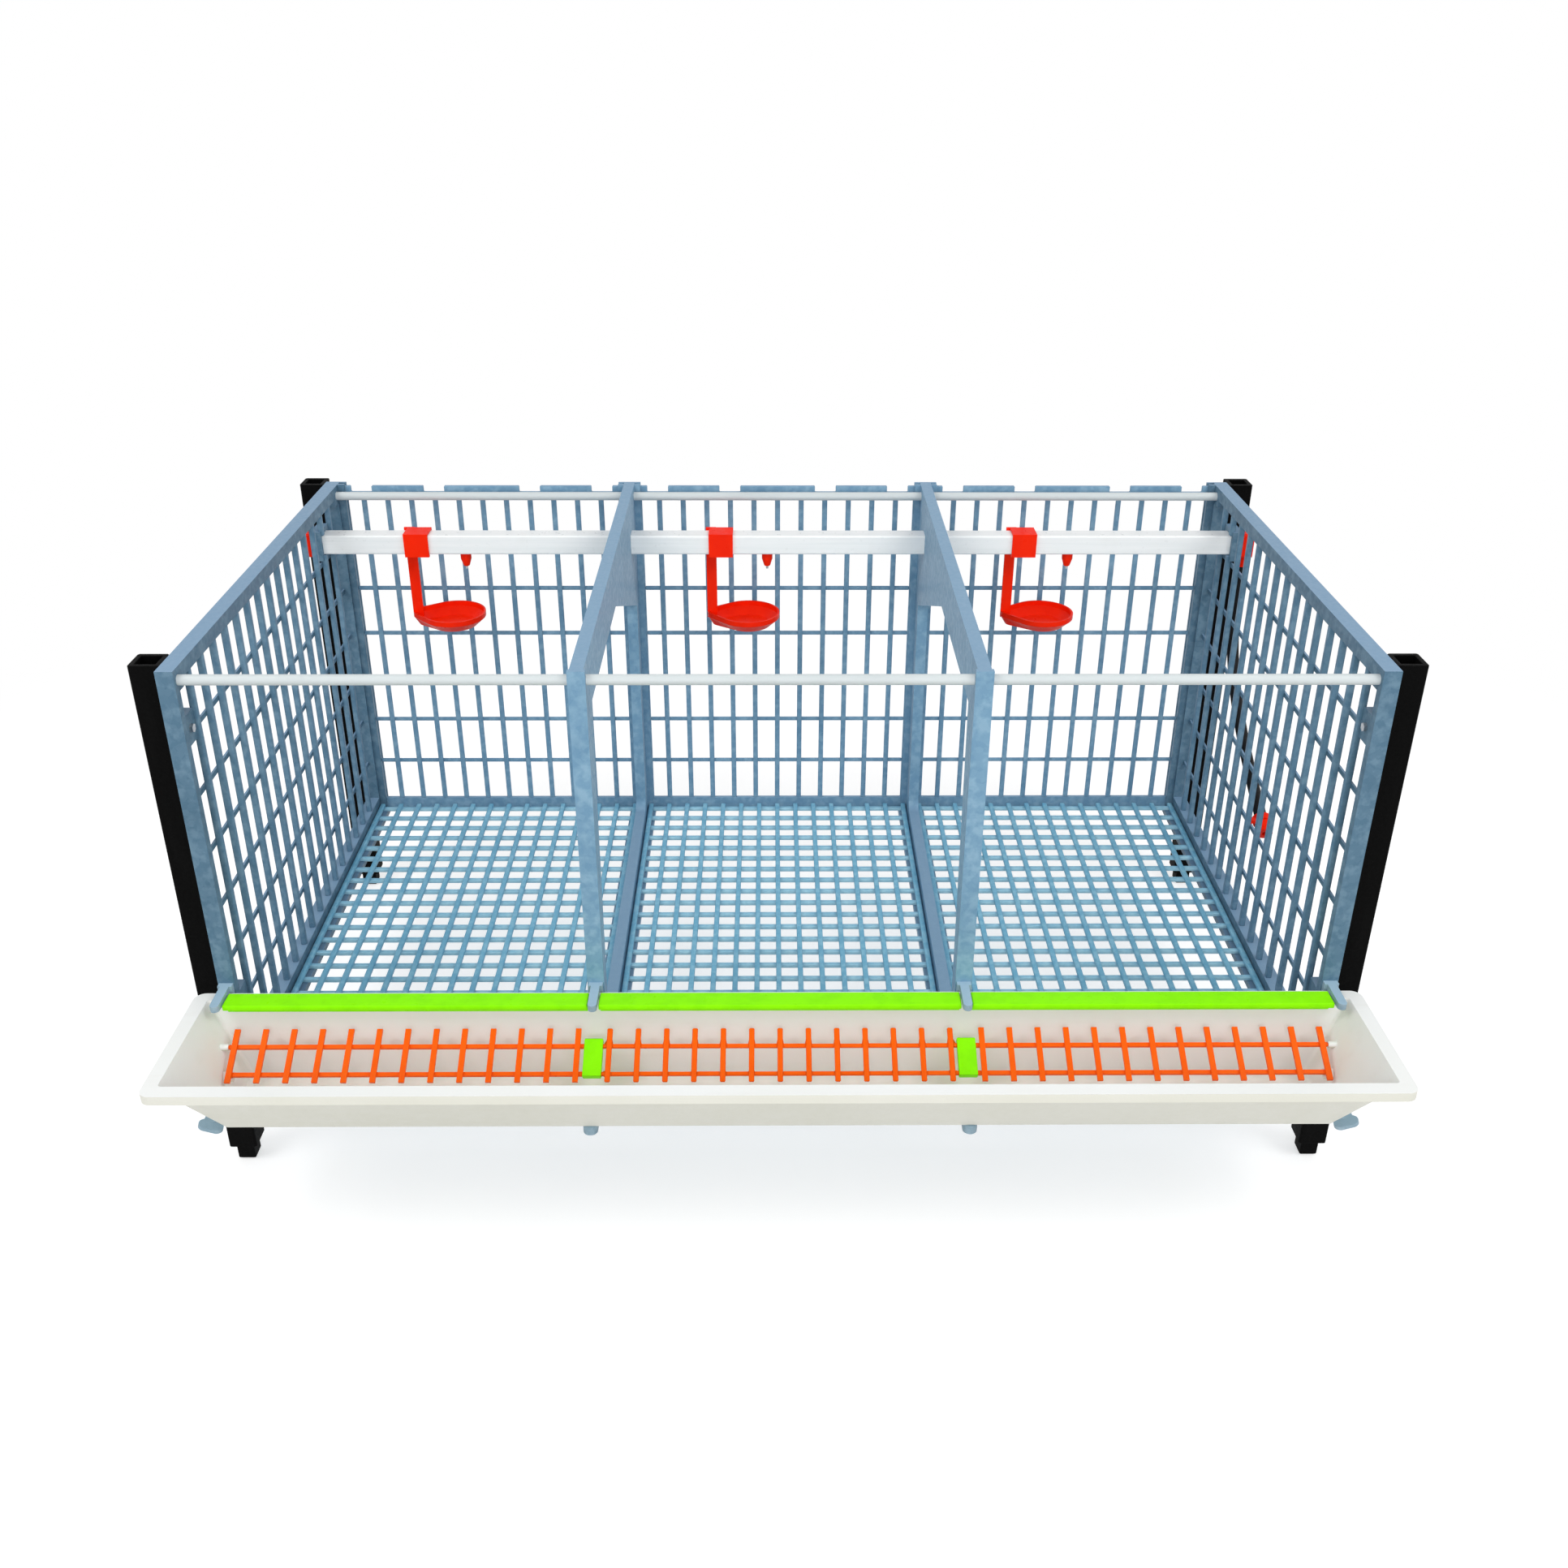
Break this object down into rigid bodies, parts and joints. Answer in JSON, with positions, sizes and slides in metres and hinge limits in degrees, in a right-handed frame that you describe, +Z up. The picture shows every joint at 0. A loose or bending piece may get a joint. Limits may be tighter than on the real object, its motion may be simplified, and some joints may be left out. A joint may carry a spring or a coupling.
{
  "type": "poultry cage",
  "caption": "Moulded poultry cage with mesh walls, open dividers, corner posts, a square water pipe with cup drinkers, and a sliding feed trough with a hinged grille",
  "frame": {"origin": "on the ground, in the middle of the footprint (trough included)", "axes": "+X to the right seen from the trough side, +Y from the trough to the back panels, +Z up"},
  "size_m": [1, 0.6606, 0.492],
  "materials": {
    "cage_blue": "satin moulded",
    "floor_blue": "satin moulded",
    "post_black": "matt",
    "rod_white": "powder coat",
    "pipe_white": "satin",
    "red": "gloss",
    "hose_black": "matt",
    "steel": "plain",
    "trough_cream": "satin",
    "lime": "satin",
    "orange": "satin",
    "bracket_blue": "satin"
  },
  "bodies": {
    "cage": {"side_wall_left": "cage_blue", "side_wall_right": "cage_blue", "divider_left": "cage_blue", "divider_right": "cage_blue", "back_panel_left": "cage_blue", "back_panel_middle": "cage_blue", "back_panel_right": "cage_blue", "floor_panel_left": "floor_blue", "floor_panel_middle": "floor_blue", "floor_panel_right": "floor_blue", "post_front_left": "post_black", "post_front_right": "post_black", "post_rear_left": "post_black", "post_rear_right": "post_black", "tie_rod_front": "rod_white", "tie_rod_rear": "rod_white", "water_pipe": "pipe_white", "pipe_end_cap": "red", "hose_elbow": "red", "hose_connector": "red", "drinker_cup_left": "red", "drinker_cup_middle": "red", "drinker_cup_right": "red", "nipple_body_left": "red", "nipple_body_middle": "red", "nipple_body_right": "red", "hose": "hose_black", "post_screws": "steel", "bracket_screws": "steel", "trough_bracket_left": "bracket_blue", "trough_bracket_inner_left": "bracket_blue", "trough_bracket_inner_right": "bracket_blue", "trough_bracket_right": "bracket_blue"},
    "trough": {"feed_trough": "trough_cream", "edge_strip_left": "lime", "edge_strip_middle": "lime", "edge_strip_right": "lime"},
    "grille": {"feed_grille_left": "orange", "feed_grille_middle": "orange", "feed_grille_right": "orange", "grille_clip_left": "lime", "grille_clip_right": "lime"},
    "nipple_left": {"nipple_pin_left": "steel", "nipple_seal_left": "steel"},
    "nipple_middle": {"nipple_pin_middle": "steel", "nipple_seal_middle": "steel"},
    "nipple_right": {"nipple_pin_right": "steel", "nipple_seal_right": "steel"}
  },
  "joints": [
    {"name": "trough_slide", "type": "slide", "parent": "cage", "child": "trough", "axis": [0, -1, 0], "range_m": [0, 0.035]},
    {"name": "grille_hinge", "type": "hinge", "parent": "trough", "child": "grille", "pos_m": [0, -0.2237, 0.1673], "axis": [-1, 0, 0], "range_deg": [0, 100]},
    {"name": "nipple_left_push", "type": "slide", "parent": "cage", "child": "nipple_left", "axis": [0, 0, 1], "range_m": [0, 0.0015]},
    {"name": "nipple_middle_push", "type": "slide", "parent": "cage", "child": "nipple_middle", "axis": [0, 0, 1], "range_m": [0, 0.0015]},
    {"name": "nipple_right_push", "type": "slide", "parent": "cage", "child": "nipple_right", "axis": [0, 0, 1], "range_m": [0, 0.0015]}
  ]
}
